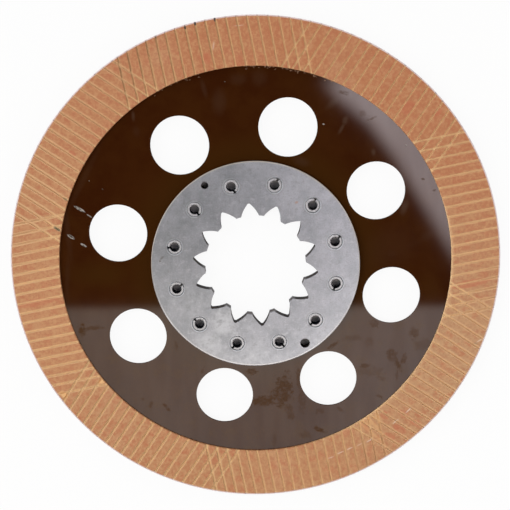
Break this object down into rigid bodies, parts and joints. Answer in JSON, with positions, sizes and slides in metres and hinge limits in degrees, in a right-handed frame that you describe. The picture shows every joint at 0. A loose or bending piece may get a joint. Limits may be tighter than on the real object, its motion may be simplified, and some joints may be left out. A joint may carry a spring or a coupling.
{
  "type": "wet brake friction disc",
  "caption": "Flat round friction disc for an oil-immersed brake, with grooved lining rings, round oil windows, a pinned hub and an internal spline.",
  "frame": {"origin": "on the bore axis, in the middle of the core plate's thickness", "axes": "+Z along the bore axis, out of the front face; +Y through the small locating hole"},
  "size_m": [0.26, 0.26, 0.0066],
  "materials": {
    "lacquered_steel": "gloss",
    "friction_lining": "matte",
    "ground_steel": "satin",
    "pin_steel": "satin"
  },
  "bodies": {
    "root": {"core_plate": "lacquered_steel", "lining_front": "friction_lining", "lining_rear": "friction_lining", "hub_ring_front": "ground_steel", "hub_ring_rear": "ground_steel", "spring_pin_1": "pin_steel", "spring_pin_2": "pin_steel", "spring_pin_3": "pin_steel", "spring_pin_4": "pin_steel", "spring_pin_5": "pin_steel", "spring_pin_6": "pin_steel", "spring_pin_7": "pin_steel", "spring_pin_8": "pin_steel", "spring_pin_9": "pin_steel", "spring_pin_10": "pin_steel", "spring_pin_11": "pin_steel", "spring_pin_12": "pin_steel"}
  },
  "joints": []
}
